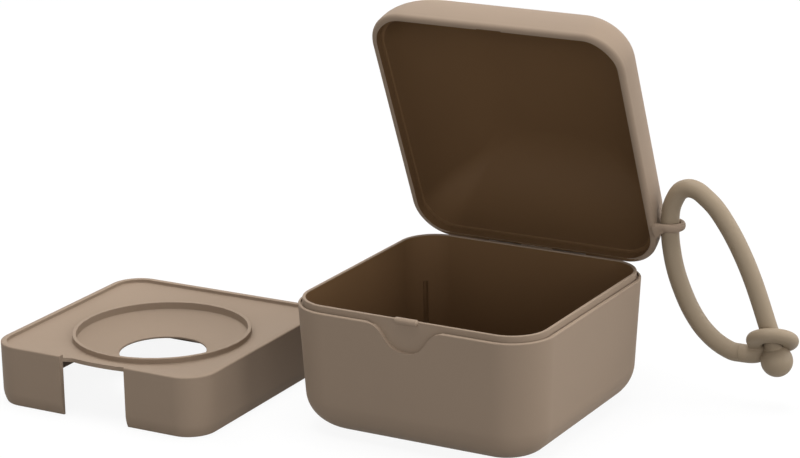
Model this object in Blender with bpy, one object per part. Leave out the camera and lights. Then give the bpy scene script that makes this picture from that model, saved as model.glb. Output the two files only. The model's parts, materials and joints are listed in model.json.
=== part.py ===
# Square storage box with a hinged lid, a loose insert and a cord strap.
# Metres, Z up, X right, Y back. The origin is the centre of the base's underside.
import math

import bmesh
import bpy
from mathutils import Matrix, Vector

MM = 0.001

# Base, sized at the outer wall's top edge
BASE_HALF = 45.0 * MM
BASE_TOP = 42.3 * MM
BASE_CORNER = 15.0 * MM
BASE_DRAFT = math.radians(3.1)
BASE_FILLET = 12.6 * MM
EDGE_ROUND = 0.5 * MM
FLOOR = 2.0 * MM
INNER_DRAFT = math.radians(1.0)
INNER_FILLET = 10.4 * MM
CORNER_SHARE = 0.6

# Lip that stands inside the wall's top
LIP_STEP = 1.7 * MM
LIP_TALL = 2.0 * MM
LIP_THICK = 1.05 * MM
LIP_ROUND = 0.25 * MM
LIP_CORNER_LESS = 2.4 * MM
LIP_TOP = BASE_TOP + LIP_TALL
LIP_HALF = BASE_HALF - LIP_STEP
LIP_CORNER = BASE_CORNER - LIP_CORNER_LESS
INNER_HALF = LIP_HALF - LIP_THICK
INNER_CORNER = LIP_CORNER - LIP_THICK

# Thumb recess in the front wall, with its outline as shares of its half width and depth
RECESS_HALF = 13.2 * MM
RECESS_DEEP = 8.7 * MM
RECESS_STEP = 0.05 * MM
RECESS_SHARES = [
    (0.0, 1.0), (0.18, 0.966), (0.3, 0.9), (0.415, 0.79), (0.52, 0.61), (0.61, 0.42), (0.712, 0.23), (0.848, 0.092),
    (1.0, 0.01)
]

# Snap bead on the lip, and its section's size along its length as shares
BEAD_HALF = 4.2 * MM
BEAD_PROUD = 0.75 * MM
BEAD_UP = 1.1 * MM
BEAD_HALF_TALL = 0.85 * MM
BEAD_SHARES = [(-1.0, 0.35), (-0.94, 0.75), (-0.84, 1.0), (0.84, 1.0), (0.94, 0.75), (1.0, 0.35)]

# Shallow grooves down the four inner corners
GROOVE_RADIUS = 0.7 * MM
GROOVE_LIFT = 0.4 * MM
GROOVE_LONG = 15.0 * MM
GROOVE_LOW = FLOOR + INNER_FILLET + GROOVE_LIFT

# Lid, in its closed place
SEAM_GAP = 0.3 * MM
LID_OVER_X = 0.7 * MM
LID_OVER_Y = 1.0 * MM
LID_HEIGHT = 30.4 * MM
LID_DRAFT = math.radians(3.1)
LID_UPRIGHT = 2.5 * MM
LID_INNER_UPRIGHT = 0.1 * MM
LID_CORNER_LESS = 1.0 * MM
LID_CORNER_LEAST = 5.0 * MM
LID_INNER_LESS = 2.6 * MM
LID_INNER_LEAST = 4.0 * MM
LID_ROOF = 2.2 * MM
RIM = BASE_TOP + SEAM_GAP
LID_HALF_X = BASE_HALF + LID_OVER_X
LID_HALF_Y = BASE_HALF + LID_OVER_Y
LID_CORNER = BASE_CORNER - LID_CORNER_LESS
LID_INNER_CORNER = LID_CORNER - LID_INNER_LESS

# Rebate in the lid's rim that takes the lip, and the groove for the snap bead
RIM_ROUND = 0.9 * MM
RIM_INNER_ROUND = 0.2 * MM
REBATE_GAP = 0.7 * MM
REBATE_OVER = 1.3 * MM
REBATE_LEDGE = 1.4 * MM
REBATE_DEEP = LIP_TALL - SEAM_GAP + REBATE_OVER
RIM_THICK = LIP_STEP + LID_OVER_X - REBATE_GAP
LID_INNER_HEIGHT = LID_HEIGHT - LID_ROOF - REBATE_DEEP - RIM_INNER_ROUND
LID_FILLET = (LID_HEIGHT - RIM_ROUND - LID_UPRIGHT) / (1 - math.sin(LID_DRAFT))
LID_INNER_FILLET = (LID_INNER_HEIGHT - LID_INNER_UPRIGHT) / (1 - math.sin(LID_DRAFT))
CATCH_DEEP = 0.4 * MM
CATCH_LONGER = 0.7 * MM
CATCH_TALLER = 0.2 * MM

# Hinge along X behind the base's back wall, a pin in three knuckles
LID_OPEN = math.radians(67.1)
PIN_RADIUS = 1.0 * MM
PIN_GAP = 0.3 * MM
PIN_SHORT = 0.4 * MM
KNUCKLE_WALL = 0.9 * MM
KNUCKLE_GAP = 0.4 * MM
MIDDLE_HALF = 5.7 * MM
SIDE_GAP = 0.3 * MM
SIDE_LONG = 12.0 * MM
HINGE_OUT = 1.4 * MM
HINGE_DOWN = 1.85 * MM
WEB_SINK = 1.2 * MM
WEB_DOWN = 6.25 * MM
LEAF_SINK = 1.4 * MM
LEAF_UP = 0.8 * MM
LEAF_TALL = 3.6 * MM
HINGE_Y = BASE_HALF + HINGE_OUT
HINGE_Z = RIM - HINGE_DOWN
BORE_RADIUS = PIN_RADIUS + PIN_GAP
KNUCKLE = BORE_RADIUS + KNUCKLE_WALL
SIDE_START = MIDDLE_HALF + SIDE_GAP
SIDE_END = SIDE_START + SIDE_LONG
PIN_HALF = SIDE_END - PIN_SHORT

# Eye for the strap on the lid's right wall, level while the lid stands open
CORD_RADIUS = 3.0 * MM
EYE_BACK = 14.9 * MM
EYE_UP = 4.72 * MM
EYE_OUT = 0.4 * MM
EYE_GAP = 0.35 * MM
EYE_THICK = 1.1 * MM
EYE_HALF_TALL = 1.5 * MM
EYE_SINK = 0.35 * MM
EYE_BEND = CORD_RADIUS + EYE_GAP + EYE_THICK

# How the eye's legs widen towards the wall: places along a leg and what they add to the section, as shares
EYE_FLARE_SHARES = [(0.0, 0.5), (0.3, 0.3), (0.6, 0.12), (0.9, 0.0)]

# Strap: the cord's middle line from ring to ball, in mm from the eye, in the upright plane through it
CORD_ROUTE = [
    (25.7, -39.9), (22.8, -39.8), (18.7, -38.2), (14.9, -35.7), (11.1, -32.0), (7.2, -26.3), (3.7, -19.1),
    (1.7, -13.3), (0.6, -8.4), (0.1, -4.2), (0.0, 0.0), (0.05, 3.6), (0.4, 6.6), (1.5, 9.8), (3.5, 12.4),
    (6.4, 13.7), (9.5, 13.2), (12.2, 11.5), (15.8, 8.5), (19.3, 4.2), (23.0, -1.4), (26.4, -8.0),
    (29.5, -14.8), (32.4, -22.0), (35.1, -29.2), (36.4, -32.4), (37.16, -35.2),
]
STRAP_GAP = 0.35 * MM
BALL_RADIUS = 5.3 * MM
BALL_FLAT = 0.7 * MM
RING_RADIUS = 8.6 * MM
RING_GAP = 1.3 * MM
RING_HALF_TALL = 1.8 * MM
RING_ROUND = 1.6 * MM
RING_INNER_ROUND = 0.6 * MM
RING_SEAT_GAP = 0.2 * MM
RING_TILT = math.radians(25.0)
RING_ROLL = math.radians(10.0)
RING_HOLE = CORD_RADIUS + RING_GAP
TAIL_TURN = math.radians(35.0)

# The tail from the cord's start to the middle of the ring's section: three places and the radius, as shares
TAIL_SHARES = [
    (0.0, 0.0, 0.0, 1.0), (0.25, 0.04, 0.0, 1.0), (0.48, 0.2, 0.03, 1.0), (0.69, 0.46, 0.14, 0.97),
    (0.85, 0.73, 0.36, 0.88), (0.95, 0.91, 0.66, 0.75), (1.0, 1.0, 1.0, 0.62),
]

# Insert, which fits in the base and stands to the left of it here
INSERT_GAP = 0.85 * MM
INSERT_TOP = 20.7 * MM
INSERT_CORNER_LESS = 1.05 * MM
INSERT_CORNER_LEAST = 6.0 * MM
INSERT_LEAN = 0.1 * MM
INSERT_ROUND = 0.5 * MM
SKIRT_TUCK = 1.3 * MM
SKIRT_TUCK_TALL = 5.5 * MM
SKIRT_THICK = 1.7 * MM
RIM_WIDE = 2.3 * MM
RIM_BEVEL = 0.3 * MM
PLATE_DROP = 0.9 * MM
PLATE_THICK = 1.4 * MM
RIB_OUTER = 30.2 * MM
RIB_THICK = 1.4 * MM
RIB_BELOW = 1.4 * MM
RIB_ROUND = 0.3 * MM
RIB_TALL_OUT = 2.0 * MM
RIB_TALL_IN = 2.6 * MM
HOLE_RADIUS = 14.7 * MM
HOLE_ROUND = 0.4 * MM
BOWL_DEEP = 5.3 * MM
BOWL_SAG = 0.5 * MM
NOTCH_HALF = 12.6 * MM
NOTCH_DEEP = 3.0 * MM
NOTCH_ROUND = 2.6 * MM
STAND_GAP = 18.7 * MM
STAND_FORWARD = 24.6 * MM
STAND_TURN = math.radians(0.5)
INSERT_HALF = INNER_HALF - INSERT_GAP
INSERT_CORNER = INNER_CORNER - INSERT_CORNER_LESS

# Mesh fineness and the overrun of cutters
CORNER_STEPS = 9
SIDE_STEPS = 7
FILLET_STEPS = 8
ROUND_STEPS = 3
CIRCLE_STEPS = 28
BEND_STEPS = 10
ROUTE_STEPS = 20
CORD_STEPS = 45
OVER = 4.0 * MM

PLASTIC = (0.235, 0.180, 0.135, 1.0)
SILICONE = (0.225, 0.178, 0.125, 1.0)


def clear_scene():
    for obj in list(bpy.data.objects):
        bpy.data.objects.remove(obj, do_unlink=True)


def material(name, colour, roughness):
    made = bpy.data.materials.new(name)
    made.use_nodes = True
    shader = made.node_tree.nodes["Principled BSDF"]
    shader.inputs["Base Color"].default_value = colour
    shader.inputs["Roughness"].default_value = roughness
    return made


def outline(half_x, half_y, radius, height, side_steps=1):
    """A rounded rectangle's points at one height, counter-clockwise from its right side."""
    corners = []
    for quarter, (sign_x, sign_y) in enumerate(((1, 1), (-1, 1), (-1, -1), (1, -1))):
        centre = (sign_x * (half_x - radius), sign_y * (half_y - radius))
        corners.append(arc(centre, radius, 90 * quarter, 90 * (quarter + 1), CORNER_STEPS))
    points = []
    for corner, ahead in zip(corners, corners[1:] + corners[:1]):
        points += corner
        start, end = Vector(corner[-1]), Vector(ahead[0])
        points += [start.lerp(end, step / side_steps) for step in range(1, side_steps)]
    return [Vector((point[0], point[1], height)) for point in points]


def circle(radius, height, like=None):
    """A circle's points, at even angles or at the same angles as another outline's."""
    if like:
        angles = [math.atan2(point.y, point.x) for point in like]
    else:
        angles = [math.tau * step / CIRCLE_STEPS for step in range(CIRCLE_STEPS)]
    return [Vector((radius * math.cos(angle), radius * math.sin(angle), height)) for angle in angles]


def arc(centre, radius, start, end, steps):
    """Points of an arc in a plane, from one angle to another in degrees."""
    angles = [math.radians(start + (end - start) * step / steps) for step in range(steps + 1)]
    return [(centre[0] + radius * math.cos(a), centre[1] + radius * math.sin(a)) for a in angles]


def drafted(half, top, bottom, draft, fillet):
    """A leaning wall from its foot fillet up to its top, as half widths and heights."""
    lean = math.tan(draft)
    foot = half - (top - bottom) * lean
    centre = (foot + fillet * lean - fillet / math.cos(draft), bottom + fillet)
    return arc(centre, fillet, -90, -math.degrees(draft), FILLET_STEPS) + [(half, top)]


def loft(name, rings, joined=False):
    """One closed skin through rings of equal length, capped at both ends or joined in a loop."""
    mesh = bpy.data.meshes.new(name)
    built = bmesh.new()
    rows = [[built.verts.new(point) for point in ring] for ring in rings]
    pairs = list(zip(rows, rows[1:]))
    if joined:
        pairs.append((rows[-1], rows[0]))
    for low, high in pairs:
        for index in range(len(low)):
            after = (index + 1) % len(low)
            built.faces.new((low[index], low[after], high[after], high[index]))
    if not joined:
        built.faces.new(rows[0])
        built.faces.new(rows[-1])
    bmesh.ops.recalc_face_normals(built, faces=built.faces)
    built.to_mesh(mesh)
    built.free()
    obj = bpy.data.objects.new(name, mesh)
    bpy.context.scene.collection.objects.link(obj)
    return obj


def prism(name, points, start, end, axis):
    """A flat outline swept along X, Y or Z. Its two numbers are the other axes in order."""
    rings = []
    for reach in (start, end):
        ring = []
        for pair in points:
            spot = list(pair)
            spot.insert("XYZ".index(axis), reach)
            ring.append(Vector(spot))
        rings.append(ring)
    return loft(name, rings)


def tube(name, points, across, sizes):
    """A skin along points, with an oval section: its size beside the line and its size across it."""
    rings = []
    for index, point in enumerate(points):
        before = points[max(index - 1, 0)]
        after = points[min(index + 1, len(points) - 1)]
        along = (after - before).normalized()
        across = (across - along * across.dot(along)).normalized()
        beside = along.cross(across)
        wide, tall = sizes[index]
        rings.append([point + beside * (wide * turn.x) + across * (tall * turn.y) for turn in circle(1, 0)])
    return loft(name, rings)


def bead(name, half, proud, half_tall, face, height):
    """A low bead along X on a face that looks to the front."""
    rings = []
    for along, size in BEAD_SHARES:
        rings.append([
            Vector((along * half, turn.x * size * proud - face, height + turn.y * size * half_tall))
            for turn in circle(1, 0)
        ])
    return loft(name, rings)


def join_with(obj, tool, operation):
    """Adds a helper to a piece, or cuts it away, with an exact Boolean."""
    tool.hide_render = True
    tool.display_type = "WIRE"
    modifier = obj.modifiers.new(tool.name, "BOOLEAN")
    modifier.solver = "EXACT"
    modifier.operation = operation
    modifier.object = tool


def place(obj, spot, axis, angle):
    """Puts a piece and its helpers, made about the world's origin, at their spot and turn."""
    for each in [obj] + [modifier.object for modifier in obj.modifiers]:
        each.location = spot
        each.rotation_euler = Matrix.Rotation(angle, 3, axis).to_euler()


def finish(obj, slot):
    obj.data.materials.append(slot)
    if obj.type == "MESH":
        obj.data.shade_smooth()
        obj.data.set_sharp_from_angle(angle=math.radians(35))


def smooth_route(points):
    """Evenly spaced points on a smooth curve through the given ones."""
    padded = [2 * points[0] - points[1]] + points + [2 * points[-1] - points[-2]]
    fine = []
    for a, b, c, d in zip(padded, padded[1:], padded[2:], padded[3:]):
        square, cube = 2 * a - 5 * b + 4 * c - d, 3 * b - a - 3 * c + d
        for step in range(ROUTE_STEPS):
            t = step / ROUTE_STEPS
            fine.append(0.5 * (2 * b + (c - a) * t + square * t**2 + cube * t**3))
    fine.append(points[-1])
    lengths = [0.0]
    for here, there in zip(fine, fine[1:]):
        lengths.append(lengths[-1] + (there - here).length)
    route = []
    at = 0
    for step in range(CORD_STEPS + 1):
        wanted = lengths[-1] * step / CORD_STEPS
        while at < len(fine) - 2 and lengths[at + 1] < wanted:
            at += 1
        share = (wanted - lengths[at]) / (lengths[at + 1] - lengths[at])
        route.append(fine[at].lerp(fine[at + 1], min(share, 1.0)))
    return route


# Hinge
def hinge_bar(name, radius, start, end):
    return prism(name, [(HINGE_Y + turn.x, HINGE_Z + turn.y) for turn in circle(radius, 0)], start, end, "X")


def knuckle(name, start, end, foot):
    """A hinge barrel along X with the web that carries it, as one convex prism."""
    points = [(HINGE_Y + turn.x, HINGE_Z + turn.y) for turn in circle(KNUCKLE, 0)] + foot
    hull = []
    for direction in (1, -1):
        chain = []
        for point in sorted(points, reverse=direction < 0):
            while len(chain) > 1 and turns_right(chain[-2], chain[-1], point):
                chain.pop()
            chain.append(point)
        hull += chain[:-1]
    return prism(name, hull, start, end, "X")


def turns_right(first, second, third):
    return (second[0] - first[0]) * (third[1] - first[1]) <= (second[1] - first[1]) * (third[0] - first[0])


# Base
def base_rings():
    wall = drafted(BASE_HALF, BASE_TOP - EDGE_ROUND, 0, BASE_DRAFT, BASE_FILLET)
    wall += arc((BASE_HALF - EDGE_ROUND, BASE_TOP - EDGE_ROUND), EDGE_ROUND, 0, 90, ROUND_STEPS)[1:]
    lip = [(LIP_HALF, BASE_TOP)]
    lip += arc((LIP_HALF - LIP_ROUND, LIP_TOP - LIP_ROUND), LIP_ROUND, 0, 90, ROUND_STEPS)
    lip += arc((INNER_HALF + LIP_ROUND, LIP_TOP - LIP_ROUND), LIP_ROUND, 90, 180, ROUND_STEPS)[:-1]
    inner = drafted(INNER_HALF, LIP_TOP - LIP_ROUND, FLOOR, INNER_DRAFT, INNER_FILLET)
    rings = [outline(half, half, BASE_CORNER - CORNER_SHARE * (BASE_HALF - half), height) for half, height in wall]
    rings += [outline(half, half, LIP_CORNER - (LIP_HALF - half), height) for half, height in lip]
    for half, height in reversed(inner):
        rings.append(outline(half, half, INNER_CORNER - CORNER_SHARE * (INNER_HALF - half), height))
    return rings


def make_base(slot):
    base = loft("base_shell", base_rings())
    face = LIP_HALF - RECESS_STEP
    right = [(x * RECESS_HALF, BASE_TOP - z * RECESS_DEEP) for x, z in RECESS_SHARES]
    left = [(-x, z) for x, z in reversed(right[1:])]
    top = [(RECESS_HALF, LIP_TOP + OVER), (-RECESS_HALF, LIP_TOP + OVER)]
    join_with(base, prism("cut_recess", left + right + top, -BASE_HALF - OVER, -face, "Y"), "DIFFERENCE")
    groove_top = GROOVE_LOW + GROOVE_LONG
    half = INNER_HALF - (LIP_TOP - groove_top) * math.tan(INNER_DRAFT)
    radius = INNER_CORNER - CORNER_SHARE * (INNER_HALF - half)
    corner = half - radius + radius / math.sqrt(2)
    for index, (sign_x, sign_y) in enumerate(((1, 1), (-1, 1), (-1, -1), (1, -1))):
        ring = [(sign_x * corner + turn.x, sign_y * corner + turn.y) for turn in circle(GROOVE_RADIUS, 0)]
        join_with(base, prism(f"cut_groove_{index}", ring, GROOVE_LOW, groove_top, "Z"), "DIFFERENCE")
    foot = [(BASE_HALF - WEB_SINK, HINGE_Z - WEB_DOWN), (BASE_HALF - WEB_SINK, BASE_TOP - SEAM_GAP)]
    join_with(base, knuckle("add_knuckle_right", SIDE_START, SIDE_END, foot), "UNION")
    join_with(base, knuckle("add_knuckle_left", -SIDE_END, -SIDE_START, foot), "UNION")
    pocket = KNUCKLE + KNUCKLE_GAP
    trough = arc((HINGE_Y, HINGE_Z), pocket, -180, 0, BEND_STEPS)
    trough += [(HINGE_Y + pocket, BASE_TOP + OVER), (HINGE_Y - pocket, BASE_TOP + OVER)]
    join_with(base, prism("cut_middle_pocket", trough, -SIDE_START, SIDE_START, "X"), "DIFFERENCE")
    join_with(base, hinge_bar("cut_base_bore", BORE_RADIUS, -SIDE_END - OVER, SIDE_END + OVER), "DIFFERENCE")
    snap = bead("add_bead", BEAD_HALF, BEAD_PROUD + RECESS_STEP, BEAD_HALF_TALL, face, BASE_TOP + BEAD_UP)
    join_with(base, snap, "UNION")
    finish(base, slot)


# Lid
def lid_wall():
    """The lid's outer wall from its top down to the rim's rounding, as half widths and heights."""
    wall = drafted(LID_HALF_X, LID_HEIGHT - RIM_ROUND, 0, LID_DRAFT, LID_FILLET)
    return [(half, RIM + LID_HEIGHT - down) for half, down in wall]


def lid_rings():
    extra = LID_HALF_Y - LID_HALF_X
    wall = lid_wall()
    wall += arc((LID_HALF_X - RIM_ROUND, RIM + RIM_ROUND), RIM_ROUND, 0, -90, ROUND_STEPS)[1:]
    rebate = LID_HALF_X - RIM_THICK
    ledge = RIM + REBATE_DEEP
    rim = arc((rebate + RIM_INNER_ROUND, RIM + RIM_INNER_ROUND), RIM_INNER_ROUND, -90, -180, ROUND_STEPS)
    rim += [(rebate, ledge), (rebate - REBATE_LEDGE + RIM_INNER_ROUND, ledge)]
    inside = rebate - REBATE_LEDGE
    roof = RIM + LID_HEIGHT - LID_ROOF
    inner = drafted(inside, LID_INNER_HEIGHT, 0, LID_DRAFT, LID_INNER_FILLET)
    inner = [(half, roof - down) for half, down in reversed(inner)]
    rings = []
    for half, height in wall:
        radius = max(LID_CORNER - CORNER_SHARE * (LID_HALF_X - half), LID_CORNER_LEAST)
        rings.append(outline(half, half + extra, radius, height))
    for half, height in rim:
        rings.append(outline(half, half + extra, LID_CORNER - (LID_HALF_X - half), height))
    for half, height in inner:
        radius = max(LID_INNER_CORNER - CORNER_SHARE * (inside - half), LID_INNER_LEAST)
        rings.append(outline(half, half + extra, radius, height))
    return rings


def turned(point, angle):
    """A point turned about the hinge's axis, with a positive angle towards closed."""
    axis = Vector((0, HINGE_Y, HINGE_Z))
    return axis + Matrix.Rotation(angle, 3, "X") @ (point - axis)


def eye_centre():
    """The eye's centre while the lid stands open."""
    closed = Vector((LID_HALF_X + EYE_OUT + CORD_RADIUS, LID_HALF_Y - EYE_BACK, RIM + EYE_UP))
    return turned(closed, -LID_OPEN)


def wall_at(height):
    """The half width of the lid's outer wall at a height, in its closed place."""
    wall = lid_wall()
    for (high_half, high), (low_half, low) in zip(wall, wall[1:]):
        if low <= height <= high:
            return low_half + (high_half - low_half) * (height - low) / (high - low)
    return LID_HALF_X


def eye_leg(centre, side):
    """One straight leg's points from the lid's wall outwards, about the eye's centre, and their sizes."""
    edge = Vector((0, side * (EYE_BEND + EYE_THICK * (1 + EYE_FLARE_SHARES[0][1])), 0))
    root = wall_at(turned(centre + edge, LID_OPEN).z) - EYE_SINK - centre.x
    return [(Vector((root * (1 - along), side * EYE_BEND, 0)), 1 + extra) for along, extra in EYE_FLARE_SHARES]


def make_eye():
    """A loop that leaves the lid's wall, goes round the cord and comes back, in a level plane."""
    centre = eye_centre()
    line = eye_leg(centre, -1)
    line += [(Vector((x, y, 0)), 1) for x, y in arc((0, 0), EYE_BEND, -90, 90, BEND_STEPS)]
    line += reversed(eye_leg(centre, 1))
    points = [centre + point for point, size in line]
    sizes = [(EYE_THICK * size, EYE_HALF_TALL * size) for point, size in line]
    eye = tube("add_eye", points, Vector((0, 0, 1)), sizes)
    for vert in eye.data.vertices:
        vert.co = turned(vert.co, LID_OPEN)
    return eye


def make_lid(slot):
    lid = loft("lid_shell", lid_rings())
    pocket = KNUCKLE + KNUCKLE_GAP
    join_with(lid, hinge_bar("cut_pocket_right", pocket, MIDDLE_HALF, SIDE_END + SIDE_GAP), "DIFFERENCE")
    join_with(lid, hinge_bar("cut_pocket_left", pocket, -SIDE_END - SIDE_GAP, -MIDDLE_HALF), "DIFFERENCE")
    low = RIM + LEAF_UP
    foot = [(LID_HALF_Y - LEAF_SINK, low + LEAF_TALL), (LID_HALF_Y - LEAF_SINK, low)]
    join_with(lid, knuckle("add_middle_knuckle", -MIDDLE_HALF, MIDDLE_HALF, foot), "UNION")
    join_with(lid, hinge_bar("cut_lid_bore", BORE_RADIUS, -MIDDLE_HALF - OVER, MIDDLE_HALF + OVER), "DIFFERENCE")
    wall = LID_HALF_Y - RIM_THICK
    half_tall = BEAD_HALF_TALL + CATCH_TALLER
    catch = bead("cut_catch", BEAD_HALF + CATCH_LONGER, CATCH_DEEP, half_tall, wall, BASE_TOP + BEAD_UP)
    join_with(lid, catch, "DIFFERENCE")
    join_with(lid, make_eye(), "UNION")
    axis = Vector((0, HINGE_Y, HINGE_Z))
    for obj in [lid] + [modifier.object for modifier in lid.modifiers]:
        obj.data.transform(Matrix.Translation(-axis))
    place(lid, axis, "X", -LID_OPEN)
    finish(lid, slot)
    return lid


# Insert
def insert_square(rows):
    """Rounded square outlines with points along their sides, which the round forms inside them follow."""
    rings = []
    for half, height in rows:
        radius = max(INSERT_CORNER - (INSERT_HALF - half), INSERT_CORNER_LEAST)
        rings.append(outline(half, half, radius, height, SIDE_STEPS))
    return rings


def insert_rings():
    tuck = []
    for step in range(ROUND_STEPS + 1):
        share = 1 - step / ROUND_STEPS
        tuck.append((SKIRT_TUCK * share**2, SKIRT_TUCK_TALL * (1 - share)))
    skirt = [(INSERT_HALF - INSERT_LEAN - inward, height) for inward, height in tuck]
    skirt += arc((INSERT_HALF - INSERT_ROUND, INSERT_TOP - INSERT_ROUND), INSERT_ROUND, 0, 90, ROUND_STEPS)
    plate = INSERT_TOP - PLATE_DROP
    edge = INSERT_HALF - RIM_WIDE
    skirt += [(edge + RIM_BEVEL, INSERT_TOP), (edge, INSERT_TOP - RIM_BEVEL), (edge - RIM_BEVEL, plate)]
    above = insert_square(skirt)
    rib_inner = RIB_OUTER - RIB_THICK
    rib_top = INSERT_TOP - RIB_BELOW
    outer_foot = rib_top - RIB_TALL_OUT
    inner_foot = rib_top - RIB_TALL_IN
    hole = inner_foot - BOWL_DEEP
    bowl = ((rib_inner + HOLE_RADIUS) / 2, (inner_foot + hole) / 2 - BOWL_SAG)
    round_rows = [
        (RIB_OUTER, outer_foot),
        (RIB_OUTER, rib_top - RIB_ROUND),
        (RIB_OUTER - RIB_ROUND, rib_top),
        (rib_inner + RIB_ROUND, rib_top),
        (rib_inner, rib_top - RIB_ROUND),
        (rib_inner, inner_foot),
        bowl,
        (HOLE_RADIUS + HOLE_ROUND, hole),
        (HOLE_RADIUS, hole - HOLE_ROUND),
        (HOLE_RADIUS, hole - PLATE_THICK + HOLE_ROUND),
        (HOLE_RADIUS + HOLE_ROUND, hole - PLATE_THICK),
        (bowl[0], bowl[1] - PLATE_THICK),
        (rib_inner, inner_foot - PLATE_THICK),
        (RIB_OUTER, outer_foot - PLATE_THICK),
    ]
    middle = [circle(radius, height, above[-1]) for radius, height in round_rows]
    inner = INSERT_HALF - SKIRT_THICK
    below = [(inner, plate - PLATE_THICK)] + [(inner - inward, height) for inward, height in reversed(tuck)]
    return above + middle + insert_square(below)


def make_insert(slot):
    insert = loft("insert_tray", insert_rings(), joined=True)
    radius = INSERT_HALF - NOTCH_DEEP
    side = NOTCH_HALF - NOTCH_ROUND
    lean = math.degrees(math.asin(side / (radius + NOTCH_ROUND)))
    corner = (side, -math.sqrt((radius + NOTCH_ROUND) ** 2 - side**2))
    notch = arc(corner, NOTCH_ROUND, 0, 90 + lean, ROUND_STEPS)
    notch += arc((0, 0), radius, lean - 90, -90, ROUND_STEPS)[1:-1]
    notch += [(0, -radius)] + [(-x, y) for x, y in reversed(notch)]
    notch += [(-NOTCH_HALF, -INSERT_HALF - OVER), (NOTCH_HALF, -INSERT_HALF - OVER)]
    join_with(insert, prism("cut_notch", notch, -OVER, INSERT_TOP + OVER, "Z"), "DIFFERENCE")
    spot = Vector((-BASE_HALF - STAND_GAP - INSERT_HALF, -STAND_FORWARD, 0))
    place(insert, spot, "Z", STAND_TURN)
    finish(insert, slot)


# Strap
def make_cord(route):
    line = bpy.data.curves.new("strap_cord", "CURVE")
    line.dimensions = "3D"
    line.bevel_depth = CORD_RADIUS
    line.bevel_resolution = 3
    line.use_fill_caps = True
    spline = line.splines.new("POLY")
    spline.points.add(len(route) - 1)
    for knot, point in zip(spline.points, route):
        knot.co = (*point, 1.0)
    cord = bpy.data.objects.new("strap_cord", line)
    bpy.context.scene.collection.objects.link(cord)
    return cord


def make_ring(middle, turn, tail_start):
    """The tilted ring round the cord, with the thick tail that the cord's other end grows out of."""
    low, high = RING_ROUND - RING_HALF_TALL, RING_HALF_TALL - RING_ROUND
    edge = RING_HALF_TALL - RING_INNER_ROUND
    section = arc((RING_HOLE + RING_INNER_ROUND, -edge), RING_INNER_ROUND, -180, -90, ROUND_STEPS)
    section += arc((RING_RADIUS - RING_ROUND, low), RING_ROUND, -90, 0, ROUND_STEPS)
    section += arc((RING_RADIUS - RING_ROUND, high), RING_ROUND, 0, 90, ROUND_STEPS)
    section += arc((RING_HOLE + RING_INNER_ROUND, edge), RING_INNER_ROUND, 90, 180, ROUND_STEPS)
    ring = loft("strap_ring", [circle(radius, height) for radius, height in section], joined=True)
    ring.data.transform(Matrix.Translation(middle) @ turn.to_4x4())
    meet = (RING_HOLE + RING_RADIUS) / 2
    end = middle + turn @ Vector((-meet * math.cos(TAIL_TURN), meet * math.sin(TAIL_TURN), 0))
    reach = end - tail_start
    points = [tail_start + Vector((x * reach.x, y * reach.y, z * reach.z)) for x, y, z, size in TAIL_SHARES]
    sizes = [(CORD_RADIUS * size, CORD_RADIUS * size) for x, y, z, size in TAIL_SHARES]
    join_with(ring, tube("add_tail", points, Vector((0, 1, 0)), sizes), "UNION")
    return ring


def ring_above_ball(lean):
    """How far up the cord the ring's middle is, with the edge of its hole seated on the ball."""
    edge = RING_HOLE + RING_INNER_ROUND
    drop = RING_HALF_TALL - RING_INNER_ROUND
    reach = BALL_RADIUS + RING_SEAT_GAP + RING_INNER_ROUND
    level = edge * math.sin(lean) + drop * math.cos(lean)
    return level + math.sqrt(level**2 + reach**2 - edge**2 - drop**2)


def make_ball(middle):
    start = math.degrees(math.asin(BALL_FLAT / BALL_RADIUS))
    side = arc((0, 0), BALL_RADIUS, start - 90, 90 - start, CIRCLE_STEPS // 2)
    ball = loft("strap_ball", [circle(radius, height) for radius, height in side])
    ball.data.transform(Matrix.Translation(middle))
    return ball


def make_strap(lid, slot):
    """The strap's pieces, made about the eye's centre and hung from a pivot there that rides on the lid."""
    centre = eye_centre()
    pivot = bpy.data.objects.new("strap_pivot", None)
    bpy.context.scene.collection.objects.link(pivot)
    pivot.location = centre
    pivot.parent = lid
    opened = Matrix.Translation(lid.location) @ lid.rotation_euler.to_matrix().to_4x4()
    pivot.matrix_parent_inverse = opened.inverted()
    route = smooth_route([Vector((x * MM, 0, z * MM)) for x, z in CORD_ROUTE])
    leave = (route[0] - route[1]).normalized()
    arrive = (route[-1] - route[-2]).normalized()
    ball_middle = route[-1] + arrive * (BALL_RADIUS + STRAP_GAP)
    turn = Matrix.Rotation(-RING_ROLL, 3, "Y") @ Matrix.Rotation(-RING_TILT, 3, "X")
    lean = arrive.angle(turn @ Vector((0, 0, -1)))
    ring = make_ring(ball_middle - arrive * ring_above_ball(lean), turn, route[0] + leave * STRAP_GAP)
    pieces = [make_cord(route), ring, make_ball(ball_middle)]
    for piece in pieces:
        piece.parent = pivot
        finish(piece, slot)
    for modifier in ring.modifiers:
        modifier.object.parent = pivot


# The whole object
def build():
    clear_scene()
    make_base(material("box_plastic", PLASTIC, 0.5))
    lid = make_lid(material("lid_plastic", PLASTIC, 0.5))
    pin = hinge_bar("hinge_pin", PIN_RADIUS, -PIN_HALF, PIN_HALF)
    finish(pin, material("pin_plastic", PLASTIC, 0.5))
    make_insert(material("insert_plastic", PLASTIC, 0.5))
    make_strap(lid, material("strap_silicone", SILICONE, 0.6))


build()
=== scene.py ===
# Looks of the square storage box with a hinged lid, a loose insert and a cord strap.
# Metres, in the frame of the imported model: the origin is the centre of the base's underside.
import json
import math

import bmesh
import bpy
from mathutils import Matrix, Vector


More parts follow.
